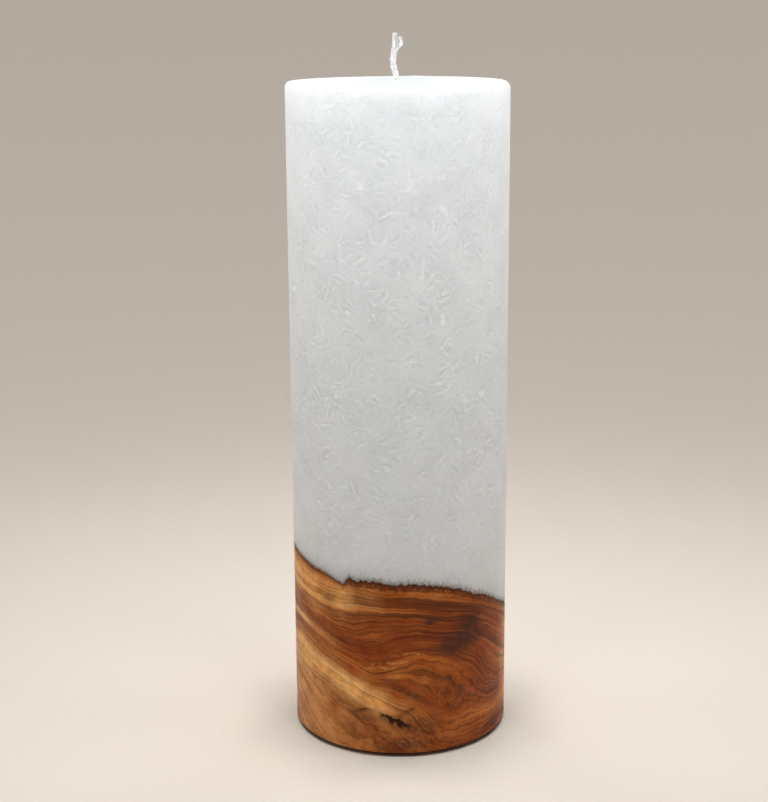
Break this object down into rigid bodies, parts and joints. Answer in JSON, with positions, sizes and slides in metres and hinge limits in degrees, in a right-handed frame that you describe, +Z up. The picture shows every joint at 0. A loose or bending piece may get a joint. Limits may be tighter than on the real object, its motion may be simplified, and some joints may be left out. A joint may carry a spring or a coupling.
{
  "type": "unity candle",
  "caption": "Tall round white wax pillar candle cast onto a turned olive-wood foot with a natural live edge, with a braided cotton wick and a felt base.",
  "frame": {"origin": "centre of the felt pad's underside, on the candle's axis", "axes": "+Z up along the candle's axis to the wick; -Y is the face the candle is seen from, with the live edge high towards -X and low towards +X"},
  "size_m": [0.076, 0.076, 0.2441],
  "materials": {
    "wax": "satin, slightly translucent, frosted all through with fine feathery crystals",
    "olive_wood": "turned, sanded and oiled, satin",
    "wick_cotton": "braided cotton primed with wax",
    "tinned_steel": "tin plated, pressed",
    "bright_steel": "bright drawn wire",
    "zinc_plated_steel": "zinc plated, faintly yellow",
    "adhesive_film": "clear to cream pressure-sensitive film",
    "felt": "pressed wool felt, dark brown"
  },
  "bodies": {
    "root": {"wax_pillar": "wax", "wood_foot": "olive_wood", "wick": "wick_cotton", "wick_tab": "tinned_steel", "tab_brads": "bright_steel", "anchor_screws": "zinc_plated_steel", "pad_adhesive": "adhesive_film", "felt_pad": "felt"}
  },
  "joints": []
}
